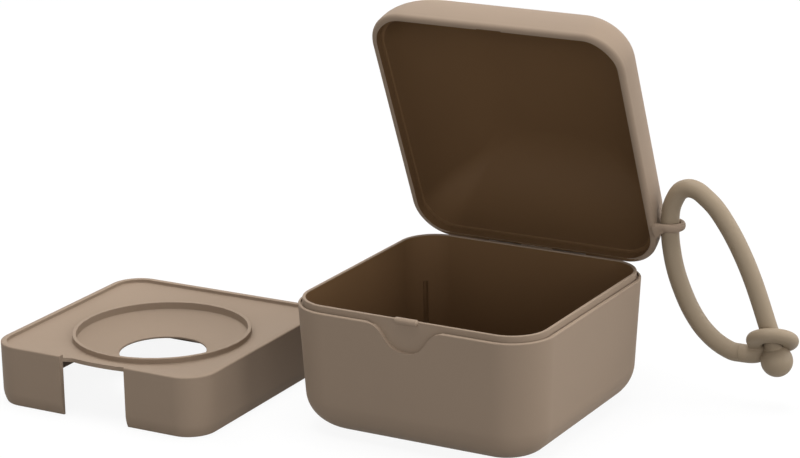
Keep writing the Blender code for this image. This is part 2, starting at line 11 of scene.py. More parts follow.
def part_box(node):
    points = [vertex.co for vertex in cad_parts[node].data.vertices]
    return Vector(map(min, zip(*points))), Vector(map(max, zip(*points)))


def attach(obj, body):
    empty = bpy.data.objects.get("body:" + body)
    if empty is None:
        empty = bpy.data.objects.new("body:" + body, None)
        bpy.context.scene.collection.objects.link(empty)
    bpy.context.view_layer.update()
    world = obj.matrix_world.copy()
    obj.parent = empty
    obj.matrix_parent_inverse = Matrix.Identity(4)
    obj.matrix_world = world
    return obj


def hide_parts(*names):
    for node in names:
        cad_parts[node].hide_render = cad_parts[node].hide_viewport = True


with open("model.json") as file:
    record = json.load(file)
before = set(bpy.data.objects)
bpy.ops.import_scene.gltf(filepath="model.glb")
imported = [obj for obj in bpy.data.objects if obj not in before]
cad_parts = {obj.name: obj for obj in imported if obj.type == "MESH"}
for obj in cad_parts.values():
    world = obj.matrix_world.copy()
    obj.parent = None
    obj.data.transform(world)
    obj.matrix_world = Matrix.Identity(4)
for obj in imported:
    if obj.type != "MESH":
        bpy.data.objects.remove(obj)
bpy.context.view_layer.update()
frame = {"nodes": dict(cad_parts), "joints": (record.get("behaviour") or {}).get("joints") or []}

MM = 0.001

# The frame's own sizes
BASE_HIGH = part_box("base_shell")[1]
JOINTS = {joint["name"]: joint for joint in frame["joints"]}
HINGE = Vector(JOINTS["lid_hinge"]["pos_m"])
EYE = Vector(JOINTS["strap_swivel"]["pos_m"])
LID_OPEN = math.radians(-JOINTS["lid_hinge"]["range_deg"][0])

# Camera
CAMERA_PLACE = Vector((404.683, -755.780, 322.397)) * MM
CAMERA_TURN = (73.1337, 0.8170, 29.4498)
CAMERA_LENS = 125.17
CAMERA_SENSOR = 36.0

# Base: its outer wall at the top edge, its inside, and the lip with the groove along its foot
LIP_TALL = 2.0 * MM
BASE_HALF = BASE_HIGH.x
LIP_TOP = BASE_HIGH.z
BASE_TOP = LIP_TOP - LIP_TALL
BASE_CORNER = 15.0 * MM
BASE_DRAFT = math.radians(3.1)
BASE_FILLET = 12.6 * MM
EDGE_ROUND = 0.5 * MM
BASE_FLOOR = 2.0 * MM
INNER_DRAFT = math.radians(1.0)
INNER_FILLET = 10.4 * MM
CORNER_SHARE = 0.6
LIP_STEP = 1.7 * MM
LIP_GROOVE_DEEP = 0.9 * MM
LIP_GROOVE_WIDE = 0.65 * MM
LIP_THICK = 1.05 * MM
LIP_ROUND = 0.35 * MM
LIP_CORNER = BASE_CORNER - 2.4 * MM
LIP_HALF = BASE_HALF - LIP_STEP
INNER_HALF = LIP_HALF - LIP_THICK
INNER_CORNER = LIP_CORNER - LIP_THICK

# Thumb recess, with its outline as shares of its half width and depth
RECESS_HALF = 13.2 * MM
RECESS_DEEP = 8.7 * MM
RECESS_SINK = 0.05 * MM
RECESS_SHARES = [
    (0.0, 1.0), (0.18, 0.966), (0.3, 0.9), (0.415, 0.79), (0.52, 0.61),
    (0.61, 0.42), (0.712, 0.23), (0.848, 0.092), (1.0, 0.01),
]

# Snap bead, and its section's size along its length as shares
BEAD_HALF = 4.2 * MM
BEAD_PROUD = 1.1 * MM
BEAD_HEIGHT = BASE_TOP + 1.45 * MM
BEAD_HALF_TALL = 1.15 * MM
BEAD_SHARES = [
    (-1.0, 0.35), (-0.96, 0.7), (-0.9, 0.93), (-0.84, 1.0),
    (0.84, 1.0), (0.9, 0.93), (0.96, 0.7), (1.0, 0.35),
]

# Grooves in the four inner corners
GROOVE_RADIUS = 0.95 * MM
GROOVE_TALL = 15.0 * MM
GROOVE_LOW = BASE_FLOOR + INNER_FILLET + 0.4 * MM
GROOVE_HIGH = GROOVE_LOW + GROOVE_TALL

# Lid, in its closed place. Its corners widen towards the roof, and it sits a little to the left.
RIM = BASE_TOP + 0.3 * MM
LID_HALF_X = BASE_HALF + 0.7 * MM
LID_HALF_Y = BASE_HALF + 1.0 * MM
LID_HEIGHT = 30.4 * MM
LID_DRAFT = math.radians(3.1)
LID_FILLET = 28.54 * MM
LID_CORNER = BASE_CORNER - 2.0 * MM
LID_CORNER_GROWTH = 0.25
LID_INNER_CORNER = LID_CORNER - 1.8 * MM
LID_INNER_LEAST = 4.0 * MM
LID_INNER_FILLET = 26.32 * MM
LID_ROOF = 2.2 * MM
RIM_ROUND = 1.4 * MM
RIM_INNER_ROUND = 0.25 * MM
# How far down a rim face at the hinge must look to get the inside's darker colour, which is painted
# shade
RIM_SHADE_LOOKS_DOWN = -0.3
RIM_THICK = 2.05 * MM
REBATE_DEEP = 3.0 * MM
REBATE_LEDGE = 1.05 * MM
LID_SLIP = 0.2 * MM
CATCH_DEEP = 0.8 * MM
CATCH_HALF = BEAD_HALF + 0.7 * MM
CATCH_HALF_TALL = BEAD_HALF_TALL + 0.2 * MM

# Hinge
BORE_RADIUS = 1.3 * MM
KNUCKLE = 2.2 * MM
POCKET = KNUCKLE + 0.4 * MM
MIDDLE_HALF = 5.7 * MM
HINGE_SLACK = 0.3 * MM
SIDE_LONG = 12.0 * MM
SIDE_START = MIDDLE_HALF + HINGE_SLACK
SIDE_END = SIDE_START + SIDE_LONG
WEB_IN = BASE_HALF - 1.2 * MM
WEB_LOW = HINGE.z - 6.25 * MM
WEB_TOP = BASE_TOP - 0.3 * MM
LEAF_IN = LID_HALF_Y - 1.4 * MM
LEAF_LOW = RIM + 0.8 * MM
LEAF_TALL = 3.6 * MM

# Eye on the lid's right wall, and its legs' growth towards the wall as places along a leg and shares
CORD_RADIUS = 3.06 * MM
EYE_THICK = 1.0 * MM
EYE_HALF_TALL = 1.4 * MM
EYE_SLACK = 0.1 * MM
EYE_BEND = CORD_RADIUS + EYE_SLACK + EYE_THICK
EYE_SINK = 0.35 * MM
EYE_RISE = 0.3 * MM
EYE_FLARE_SHARES = [(0.0, 0.9), (0.12, 0.76), (0.25, 0.62), (0.5, 0.34), (0.75, 0.12), (0.95, 0.0)]

# Strap: the cord's middle line in metres from the eye, to the right and up, and what is at its ends
CORD_ROUTE = [
    (0.0257, -0.0399), (0.0228, -0.0398), (0.0187, -0.0382), (0.0149, -0.0357), (0.0111, -0.032),
    (0.0072, -0.0263), (0.0038, -0.01905), (0.00185, -0.01325), (0.0008, -0.0084), (0.0002, -0.0042),
    (0.0, 0.0), (0.0001, 0.0036), (0.0005, 0.0066), (0.0017, 0.0097), (0.0035, 0.0124),
    (0.0064, 0.0137), (0.0095, 0.0132), (0.0122, 0.0115), (0.0158, 0.0085), (0.0193, 0.0042),
    (0.023, -0.0014), (0.0266, -0.008), (0.0297, -0.0148), (0.0325, -0.022), (0.0351, -0.0292),
    (0.0364, -0.0324), (0.03716, -0.0352),
]
BALL_RADIUS = 5.3 * MM
BALL_GAP = 0.35 * MM
BALL_POLE = 88
TAIL_OVERLAP = 0.35 * MM
RING_RADIUS = 8.6 * MM
RING_HOLE = CORD_RADIUS + 0.35 * MM
RING_HALF_TALL = 2.1 * MM
RING_ROUND = 2.0 * MM
RING_INNER_ROUND = 0.6 * MM
RING_ABOVE_BALL = 6.9 * MM
RING_LEAN = math.radians(-34.0)
RING_TWIST = math.radians(-15.0)
RING_TURN = Matrix.Rotation(RING_TWIST, 3, "Y") @ Matrix.Rotation(RING_LEAN, 3, "X")
TAIL_MEET = 6.4 * MM
TAIL_TURN = math.radians(35.0)

# Tail from the cord's start to the ring's section: shares of the way in X, Y and Z, and of the radius
TAIL_SHARES = [
    (0.0, 0.0, 0.0, 1.0), (0.3, 0.03, 0.0, 1.0), (0.58, 0.16, 0.0, 1.0), (0.82, 0.42, 0.07, 1.0),
    (0.97, 0.68, 0.28, 0.95), (1.03, 0.88, 0.58, 0.85), (1.0, 1.0, 1.0, 0.65),
]
MOULD_VOXEL = 0.28 * MM
MOULD_FLOW = 8

# Insert, to the left of the box: its skirt, plate, raised rib, sunk hole and front notch
INSERT_HALF = INNER_HALF - 0.75 * MM
INSERT_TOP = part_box("insert_tray")[1].z
INSERT_CORNER = INNER_CORNER - 1.05 * MM
INSERT_CORNER_LEAST = 6.0 * MM
INSERT_LEAN = 0.1 * MM
INSERT_ROUND = 0.5 * MM
SKIRT_TUCK = 1.1 * MM
SKIRT_TUCK_TALL = 4.6 * MM
SKIRT_THICK = 1.9 * MM
INSERT_RIM_WIDE = 1.9 * MM
INSERT_RIM_BEVEL = 0.15 * MM
PLATE_DROP = 1.2 * MM
PLATE_THICK = 1.4 * MM
RIB_OUTER = 30.2 * MM
RIB_INNER = RIB_OUTER - 1.3 * MM
RIB_TOP = INSERT_TOP - 1.4 * MM
RIB_ROUND = 0.25 * MM
OUTER_FOOT = RIB_TOP - 2.0 * MM
INNER_FOOT = RIB_TOP - 2.7 * MM
HOLE_RADIUS = 14.7 * MM
HOLE_ROUND = 0.25 * MM
HOLE_THICK = 0.7 * MM
HOLE_TOP = INNER_FOOT - 5.0 * MM
BOWL_SAG = 0.5 * MM
NOTCH_HALF = 12.6 * MM
NOTCH_DEEP = 3.0 * MM
NOTCH_ROUND = 2.6 * MM
STAND_X = -BASE_HALF - 18.7 * MM - INSERT_HALF
STAND_Y = -24.6 * MM
STAND_TURN = math.radians(0.5)

# Mesh fineness, softened edges, and how far cutters reach beyond a piece
CORNER_STEPS = 20
SIDE_STEPS = 8
FILLET_STEPS = 18
ROUND_STEPS = 5
CIRCLE_STEPS = 48
ROUTE_STEPS = 20
TAIL_STEPS = 3
RECESS_STEPS = 4
BOWL_STEPS = 6
CORD_POINTS = 150
CORD_SIDES = 8
SOFT_EDGE = 0.22 * MM
SOFT_EDGE_STEPS = 2
SHARP_ANGLE = math.radians(38)
OVER = 4.0 * MM
CORNERS = ((1, 1), (-1, 1), (-1, -1), (1, -1))

# Finishes: a linear colour, the roughness, the specular level and the grain's size
PLASTIC = (0.266, 0.198, 0.143)
OUTSIDE = (PLASTIC, 0.68, 0.22, 0.3 * MM)
# The inside's colour is the plastic's colour made darker and warmer, which is painted shade for the
# hollows of the box and lid. Its lower roughness and specular level stand for a smoother moulded finish
# inside.
INSIDE_PAINTED_SHADE = ((0.147, 0.084, 0.040), 0.55, 0.08, 0.3 * MM)
PIN = (PLASTIC, 0.45, 0.25, 0.3 * MM)
SILICONE = ((0.268, 0.208, 0.142), 0.56, 0.25, 0.35 * MM)

# Broad marks and fine grain in a finish: how far they change its colour, roughness and height
MARKS_SCALE = 38.0
MARKS_TINT = 0.045
GRAIN_TINT = 0.015
GLOSS_LOW = 0.05
GLOSS_HIGH = 0.06
GRAIN_STRENGTH = 0.35
GRAIN_HEIGHT = 0.12

# Floor and background
FLOOR_RADIUS = 4.0
FLOOR_TOP = -0.1 * MM
FLOOR_UNDER = -2.0 * MM
FLOOR_PAINT = 0.9
FLOOR_BOUNCE = 0.3
FLOOR_SHADOW = 0.09
AMBIENT = 0.0

# Lamps: bearing from the front towards the right and height, in degrees, and power in watts
LAMPS = [
    (0, 89, 14.0), (90, 15, 7.0), (135, 45, 5.8), (135, 15, 4.4),
    (270, 45, 3.7), (0, 15, 5.0), (225, 45, 3.3), (45, 15, 3.3),
]
LAMP_REACH = 1.3
LAMP_SIZE = 0.9
LAMP_AIM = (0.0, 0.0, 0.05)


# Looks of the surfaces
def node(tree, kind, **inputs):
    """A shader node with the given input values. Underscores stand for spaces in their names."""
    made = tree.nodes.new(kind)
    for name, value in inputs.items():
        made.inputs[name.replace("_", " ")].default_value = value
    return made


def moulded(name, finish, shift):
    """Moulded material with a fine grain, faint flow marks in the colour, and uneven gloss."""
    colour, roughness, shine, grain = finish
    made = bpy.data.materials.new(name)
    made.use_nodes = True
    tree = made.node_tree
    shader = tree.nodes["Principled BSDF"]
    shader.inputs["Specular IOR Level"].default_value = shine
    place = tree.nodes.new("ShaderNodeTexCoord")
    moved = node(tree, "ShaderNodeMapping", Location=shift)
    tree.links.new(place.outputs["Object"], moved.inputs["Vector"])

    broad = node(tree, "ShaderNodeTexNoise", Scale=MARKS_SCALE, Detail=3.0, Roughness=0.55)
    tree.links.new(moved.outputs[0], broad.inputs["Vector"])
    tint = node(tree, "ShaderNodeMapRange", To_Min=1 - MARKS_TINT, To_Max=1 + MARKS_TINT)
    tree.links.new(broad.outputs["Fac"], tint.inputs["Value"])
    fine = node(tree, "ShaderNodeTexNoise", Scale=1 / grain, Detail=2.0, Roughness=0.6)
    tree.links.new(moved.outputs[0], fine.inputs["Vector"])
    speck = node(tree, "ShaderNodeMapRange", To_Min=1 - GRAIN_TINT, To_Max=1 + GRAIN_TINT)
    tree.links.new(fine.outputs["Fac"], speck.inputs["Value"])
    both = node(tree, "ShaderNodeMath")
    both.operation = "MULTIPLY"
    tree.links.new(tint.outputs[0], both.inputs[0])
    tree.links.new(speck.outputs[0], both.inputs[1])
    mixed = tree.nodes.new("ShaderNodeVectorMath")
    mixed.operation = "SCALE"
    mixed.inputs[0].default_value = colour
    tree.links.new(both.outputs[0], mixed.inputs["Scale"])
    tree.links.new(mixed.outputs[0], shader.inputs["Base Color"])

    low, high = roughness - GLOSS_LOW, roughness + GLOSS_HIGH
    gloss = node(tree, "ShaderNodeMapRange", To_Min=low, To_Max=high)
    tree.links.new(broad.outputs["Fac"], gloss.inputs["Value"])
    tree.links.new(gloss.outputs[0], shader.inputs["Roughness"])
    bump = node(tree, "ShaderNodeBump", Strength=GRAIN_STRENGTH, Distance=grain * GRAIN_HEIGHT)
    tree.links.new(fine.outputs["Fac"], bump.inputs["Height"])
    tree.links.new(bump.outputs[0], shader.inputs["Normal"])
    return made


# Building blocks
def outline(half_x, half_y, radius, height):
    """A rounded rectangle's points at one height, counter-clockwise from its right side."""
    corners = []
    for quarter, (sign_x, sign_y) in enumerate(CORNERS):
        centre = (sign_x * (half_x - radius), sign_y * (half_y - radius))
        corners.append(arc(centre, radius, 90 * quarter, 90 * quarter + 90, CORNER_STEPS))
    points = []
    for corner, ahead in zip(corners, corners[1:] + corners[:1]):
        points += corner
        start, end = Vector(corner[-1]), Vector(ahead[0])
        points += [start.lerp(end, step / SIDE_STEPS) for step in range(1, SIDE_STEPS)]
    return [Vector((point[0], point[1], height)) for point in points]


def circle(radius, height, like=None):
    """A circle's points, at even angles or at the same angles as another outline's."""
    if like:
        angles = [math.atan2(point.y, point.x) for point in like]
    else:
        angles = [math.tau * step / CIRCLE_STEPS for step in range(CIRCLE_STEPS)]
    return [Vector((radius * math.cos(a), radius * math.sin(a), height)) for a in angles]


def arc(centre, radius, start, end, steps):
    """Points of an arc in a plane, from one angle to another in degrees."""
    angles = [math.radians(start + (end - start) * step / steps) for step in range(steps + 1)]
    return [(centre[0] + radius * math.cos(a), centre[1] + radius * math.sin(a)) for a in angles]


def drafted(half, top, bottom, draft, fillet):
    """A leaning wall from its foot fillet up to its top, as half widths and heights."""
    lean = math.tan(draft)
    foot = half - (top - bottom) * lean
    centre = (foot + fillet * lean - fillet / math.cos(draft), bottom + fillet)
    curve = arc(centre, fillet, -90, -math.degrees(draft), FILLET_STEPS)
    start, end = Vector(curve[-1]), Vector((half, top))
    shares = [step / ROUND_STEPS for step in range(1, ROUND_STEPS + 1)]
    return curve + [tuple(start.lerp(end, share)) for share in shares]


def loft(name, rings, joined=False):
    """One closed skin through rings of equal length, capped at both ends or joined in a loop."""
    mesh = bpy.data.meshes.new(name)
    built = bmesh.new()
    rows = [[built.verts.new(point) for point in ring] for ring in rings]
    pairs = list(zip(rows, rows[1:]))
    if joined:
        pairs.append((rows[-1], rows[0]))
    for low, high in pairs:
        for index in range(len(low)):
            after = (index + 1) % len(low)
            built.faces.new((low[index], low[after], high[after], high[index]))
    if not joined:
        built.faces.new(rows[0])
        built.faces.new(rows[-1])
    bmesh.ops.recalc_face_normals(built, faces=built.faces)
    built.to_mesh(mesh)
    built.free()
    obj = bpy.data.objects.new(name, mesh)
    bpy.context.scene.collection.objects.link(obj)
    return obj


def prism(name, points, start, end, axis):
    """A flat outline swept along X, Y or Z. Its two numbers are the other axes in order."""
    rings = []
    for reach in (start, end):
        spots = {
            "X": [(reach, first, second) for first, second in points],
            "Y": [(first, reach, second) for first, second in points],
            "Z": [(first, second, reach) for first, second in points],
        }
        rings.append([Vector(spot) for spot in spots[axis]])
    return loft(name, rings)


def tube(name, points, across, sizes):
    """A skin along points, with an oval section that has a size beside the line and one across it."""
    rings = []
    for index, point in enumerate(points):
        before = points[max(index - 1, 0)]
        after = points[min(index + 1, len(points) - 1)]
        along = (after - before).normalized()
        across = (across - along * across.dot(along)).normalized()
        beside = along.cross(across)
        wide, tall = sizes[index]
        rings.append([
            point + beside * (wide * turn.x) + across * (tall * turn.y)
            for turn in circle(1, 0)
        ])
    return loft(name, rings)


def bead(name, half, proud, half_tall, face):
    """A low bead along X, at the snap's height, on a face that looks to the front."""
    rings = []
    for along, size in BEAD_SHARES:
        deep, tall = size * proud, size * half_tall
        rings.append([
            Vector((along * half, turn.x * deep - face, BEAD_HEIGHT + turn.y * tall))
            for turn in circle(1, 0)
        ])
    return loft(name, rings)


def combine(obj, tool, operation):
    """Joins a piece and a helper in some way, and removes the helper."""
    modifier = obj.modifiers.new(tool.name, "BOOLEAN")
    modifier.solver = "EXACT"
    modifier.operation = operation
    modifier.object = tool
    settle(obj)
    bpy.data.objects.remove(tool, do_unlink=True)


def add(obj, tool):
    """Adds a helper to a piece."""
    combine(obj, tool, "UNION")


def cut(obj, tool):
    """Cuts a helper away from a piece."""
    combine(obj, tool, "DIFFERENCE")


def settle(obj):
    """Turns a piece's modifiers into mesh."""
    graph = bpy.context.evaluated_depsgraph_get()
    mesh = bpy.data.meshes.new_from_object(obj.evaluated_get(graph))
    obj.modifiers.clear()
    obj.data = mesh


def smooth_line(points, steps):
    """A smooth curve through the given points, with some steps between each two."""
    padded = [2 * points[0] - points[1]] + points + [2 * points[-1] - points[-2]]
    fine = []
    for a, b, c, d in zip(padded, padded[1:], padded[2:], padded[3:]):
        for step in range(steps):
            t = step / steps
            bend = (2 * a - 5 * b + 4 * c - d) * t**2 + (3 * b - a - 3 * c + d) * t**3
            fine.append(0.5 * (2 * b + (c - a) * t + bend))
    return fine + [points[-1]]


def spaced(fine, count):
    """Evenly spaced points along a line of many points."""
    lengths = [0.0]
    for here, there in zip(fine, fine[1:]):
        lengths.append(lengths[-1] + (there - here).length)
    route = []
    at = 0
    for step in range(count):
        wanted = lengths[-1] * step / (count - 1)
        while at < len(fine) - 2 and lengths[at + 1] < wanted:
            at += 1
        share = (wanted - lengths[at]) / (lengths[at + 1] - lengths[at])
        route.append(fine[at].lerp(fine[at + 1], min(share, 1.0)))
    return route


def soften(obj):
    """Rounds a piece's sharp edges and evens out its shading."""
    bevel = obj.modifiers.new("soft_edges", "BEVEL")
    bevel.width = SOFT_EDGE
    bevel.segments = SOFT_EDGE_STEPS
    bevel.limit_method = "ANGLE"
    bevel.angle_limit = SHARP_ANGLE
    obj.data.shade_smooth()
    normals = obj.modifiers.new("even_shading", "WEIGHTED_NORMAL")
    normals.keep_sharp = True


def wear(obj, look):
    """Gives a piece its look."""
    obj.data.materials.append(look)


def wear_painted_shade_inside(obj, painted_shade, rings, first):
    """Gives a loft a second look, a darker copy of its plastic that paints shade, from its first inner
    ring to its last cap. The first cap is outside.
    """
    obj.data.materials.append(painted_shade)
    size = len(rings[0])
    first_cap = (len(rings) - 1) * size
    for index, polygon in enumerate(obj.data.polygons):
        if index >= first * size and index != first_cap:
            polygon.material_index = 1


def dress(obj, slot, body, *nodes):
    """Ties a piece to its body and hides the CAD nodes that it stands for. Its slot is not used."""
    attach(obj, body)
    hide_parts(*nodes)


# Camera
def make_camera():
    """The point of view, a little above the box and to the right of its front."""
    data = bpy.data.cameras.new("camera")
    data.lens = CAMERA_LENS
    data.sensor_width = CAMERA_SENSOR
    camera = bpy.data.objects.new("camera", data)
    bpy.context.scene.collection.objects.link(camera)
    camera.location = CAMERA_PLACE
    camera.rotation_euler = [math.radians(angle) for angle in CAMERA_TURN]
    bpy.context.scene.camera = camera


# Strap
def cord_line():
    """The cord's middle line in the upright plane through the eye, from the ring to the ball."""
    knots = [EYE + Vector((x, 0, z)) for x, z in CORD_ROUTE]
    return spaced(smooth_line(knots, ROUTE_STEPS), CORD_POINTS)


def make_cord(route, look):
    """The cord as a curve with a round section along its route."""
    line = bpy.data.curves.new("strap_cord_skin", "CURVE")
    line.dimensions = "3D"
    line.bevel_depth = CORD_RADIUS
    line.bevel_resolution = CORD_SIDES
    line.use_fill_caps = True
    spline = line.splines.new("POLY")
    spline.points.add(len(route) - 1)
    for knot, point in zip(spline.points, route):
        knot.co = (*point, 1.0)
    cord = bpy.data.objects.new("strap_cord_skin", line)
    bpy.context.scene.collection.objects.link(cord)
    line.materials.append(look)
    dress(cord, "strap_silicone", "strap", "strap_cord")


def make_ball(route, look):
    """The ball beyond the cord's end with a short neck, and the ball's middle."""
    arrive = (route[-1] - route[-2]).normalized()
    middle = route[-1] + arrive * (BALL_RADIUS + BALL_GAP)
    side = arc((0, 0), BALL_RADIUS, -BALL_POLE, BALL_POLE, CIRCLE_STEPS // 2)
    ball = loft("strap_ball_skin", [circle(radius, height) for radius, height in side])
    ball.data.transform(Matrix.Translation(middle))
    neck_points = [route[-1] - arrive * CORD_RADIUS, route[-1] + arrive * CORD_RADIUS]
    neck = tube("neck", neck_points, Vector((0, 1, 0)), [(CORD_RADIUS, CORD_RADIUS)] * 2)
    add(ball, neck)
    ball.data.shade_smooth()
    wear(ball, look)
    dress(ball, "strap_silicone", "strap", "strap_ball")
    return ball, middle


def bare_ring(middle):
    """The ring alone: a section with round edges, swept round the ring's axis and tilted."""
    inner, outer = RING_HOLE + RING_INNER_ROUND, RING_RADIUS - RING_ROUND
    edge = RING_HALF_TALL - RING_INNER_ROUND
    flat = RING_HALF_TALL - RING_ROUND
    section = arc((inner, -edge), RING_INNER_ROUND, -180, -90, ROUND_STEPS)
    section += arc((outer, -flat), RING_ROUND, -90, 0, ROUND_STEPS)
    section += arc((outer, flat), RING_ROUND, 0, 90, ROUND_STEPS)
    section += arc((inner, edge), RING_INNER_ROUND, 90, 180, ROUND_STEPS)
    rings = [circle(radius, height) for radius, height in section]
    ring = loft("strap_ring_skin", rings, joined=True)
    ring.data.transform(Matrix.Translation(middle) @ RING_TURN.to_4x4())
    return ring


def make_tail(route, middle):
    """The tail between the cord's start and the ring's section."""
    leave = (route[0] - route[1]).normalized()
    start = route[0] - leave * TAIL_OVERLAP
    meet = Vector((-TAIL_MEET * math.cos(TAIL_TURN), TAIL_MEET * math.sin(TAIL_TURN), 0))
    reach = middle + RING_TURN @ meet - start
    knots = [Vector((x * reach.x, y * reach.y, z * reach.z, size)) for x, y, z, size in TAIL_SHARES]
    line = smooth_line(knots, TAIL_STEPS)
    points = [start + knot.to_3d() for knot in line]
    sizes = [(CORD_RADIUS * knot.w, CORD_RADIUS * knot.w) for knot in line]
    return tube("tail", points, Vector((0, 1, 0)), sizes)


def make_ring(route, ball_middle, look):
    """The tilted ring round the cord, moulded in one with its tail."""
    arrive = (route[-1] - route[-2]).normalized()
    middle = ball_middle - arrive * RING_ABOVE_BALL
    ring = bare_ring(middle)
    add(ring, make_tail(route, middle))
    remesh = ring.modifiers.new("one_moulding", "REMESH")
    remesh.mode = "VOXEL"
    remesh.voxel_size = MOULD_VOXEL
    flow = ring.modifiers.new("flow", "SMOOTH")
    flow.iterations = MOULD_FLOW
    settle(ring)
    ring.data.shade_smooth()
    wear(ring, look)
    dress(ring, "strap_silicone", "strap", "strap_ring")
    return ring


def make_strap(look):
    """The strap's three pieces."""
    route = cord_line()
    ball, middle = make_ball(route, look)
    ring = make_ring(route, middle, look)
    make_cord(route, look)


# Hinge
def hinge_bar(name, radius, start, end):
    """A round bar along the hinge's axis."""
    points = [(HINGE.y + turn.x, HINGE.z + turn.y) for turn in circle(radius, 0)]
    return prism(name, points, start, end, "X")


def turns_right(first, second, third):
    """Whether a path through three flat points turns right or runs straight on."""
    (x, y), (x2, y2), (x3, y3) = first, second, third
    return (x2 - x) * (y3 - y) <= (y2 - y) * (x3 - x)


def knuckle(name, start, end, foot):
    """A hinge barrel along X with the web that carries it, as one convex prism."""
    points = [(HINGE.y + turn.x, HINGE.z + turn.y) for turn in circle(KNUCKLE, 0)] + foot
    hull = []
    for direction in (1, -1):
        chain = []
        for point in sorted(points, reverse=direction < 0):
            while len(chain) > 1 and turns_right(chain[-2], chain[-1], point):
                chain.pop()
            chain.append(point)
        hull += chain[:-1]
    return prism(name, hull, start, end, "X")


def make_pin(look):
    """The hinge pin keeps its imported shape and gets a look."""
    pin = frame["nodes"]["hinge_pin"]
    pin.data.materials.clear()
    pin.data.materials.append(look)
    pin.data.shade_smooth()


# Base
def base_rings():
    """Rings from the base's underside over its lip to its floor, and the first inner one's number."""
    wall = drafted(BASE_HALF, BASE_TOP - EDGE_ROUND, 0, BASE_DRAFT, BASE_FILLET)
    wall += arc((BASE_HALF - EDGE_ROUND, BASE_TOP - EDGE_ROUND), EDGE_ROUND, 0, 90, ROUND_STEPS)[1:]
    lip = [
        (LIP_HALF + LIP_GROOVE_WIDE, BASE_TOP),
        (LIP_HALF + LIP_GROOVE_WIDE, BASE_TOP - LIP_GROOVE_DEEP),
        (LIP_HALF, BASE_TOP - LIP_GROOVE_DEEP),
    ]
    lip += arc((LIP_HALF - LIP_ROUND, LIP_TOP - LIP_ROUND), LIP_ROUND, 0, 90, ROUND_STEPS)
    lip += arc((INNER_HALF + LIP_ROUND, LIP_TOP - LIP_ROUND), LIP_ROUND, 90, 180, ROUND_STEPS)[:-1]
    inner = drafted(INNER_HALF, LIP_TOP - LIP_ROUND, BASE_FLOOR, INNER_DRAFT, INNER_FILLET)
    inner.reverse()
    rings = []
    for half, height in wall:
        rings.append(outline(half, half, BASE_CORNER - CORNER_SHARE * (BASE_HALF - half), height))
    for half, height in lip:
        rings.append(outline(half, half, LIP_CORNER - (LIP_HALF - half), height))
    for half, height in inner:
        rings.append(outline(half, half, INNER_CORNER - CORNER_SHARE * (INNER_HALF - half), height))
    return rings, len(wall) + len(lip)


def cut_corner_grooves(base):
    """The upright grooves in the inner corners."""
    half = INNER_HALF - (LIP_TOP - GROOVE_HIGH) * math.tan(INNER_DRAFT)
    radius = INNER_CORNER - CORNER_SHARE * (INNER_HALF - half)
    corner = half - radius + radius / math.sqrt(2)
    section = circle(GROOVE_RADIUS, 0)
    for index, (sign_x, sign_y) in enumerate(CORNERS):
        ring = [(sign_x * corner + turn.x, sign_y * corner + turn.y) for turn in section]
        groove = prism(f"cut_groove_{index}", ring, GROOVE_LOW, GROOVE_HIGH, "Z")
        # The grooves get the inside's darker colour too, which is painted shade.
        for polygon in groove.data.polygons:
            polygon.material_index = 1
        cut(base, groove)


def make_base(look, painted_shade):
    """The base's cup with its thumb recess, corner grooves, outer hinge knuckles and snap bead."""
    rings, first = base_rings()
    base = loft("base_skin", rings)
    wear(base, look)
    # The cup's inside gets the darker colour of painted shade.
    wear_painted_shade_inside(base, painted_shade, rings, first)
    face = LIP_HALF - RECESS_SINK
    knots = [Vector((x * RECESS_HALF, BASE_TOP - z * RECESS_DEEP)) for x, z in RECESS_SHARES]
    right = smooth_line(knots, RECESS_STEPS)
    left = [Vector((-point.x, point.y)) for point in reversed(right[1:])]
    top = [Vector((RECESS_HALF, LIP_TOP + OVER)), Vector((-RECESS_HALF, LIP_TOP + OVER))]
    cut(base, prism("cut_recess", left + right + top, -BASE_HALF - OVER, -face, "Y"))
    cut_corner_grooves(base)
    foot = [(WEB_IN, WEB_LOW), (WEB_IN, WEB_TOP)]
    add(base, knuckle("knuckle_right", SIDE_START, SIDE_END, foot))
    add(base, knuckle("knuckle_left", -SIDE_END, -SIDE_START, foot))
    trough = arc((HINGE.y, HINGE.z), POCKET, -180, 0, CIRCLE_STEPS // 2)
    trough += [(HINGE.y + POCKET, BASE_TOP + OVER), (HINGE.y - POCKET, BASE_TOP + OVER)]
    cut(base, prism("cut_middle_pocket", trough, -SIDE_START, SIDE_START, "X"))
    cut(base, hinge_bar("cut_base_bore", BORE_RADIUS, -SIDE_END - OVER, SIDE_END + OVER))
    add(base, bead("bead", BEAD_HALF, BEAD_PROUD + RECESS_SINK, BEAD_HALF_TALL, face))
    soften(base)
    dress(base, "box_plastic", "base", "base_shell")


# Lid
def lid_wall():
    """The lid's outer wall from its top down to the rim's rounding, as half widths and heights."""
    wall = drafted(LID_HALF_X, LID_HEIGHT - RIM_ROUND, 0, LID_DRAFT, LID_FILLET)
    return [(half, RIM + LID_HEIGHT - down) for half, down in wall]


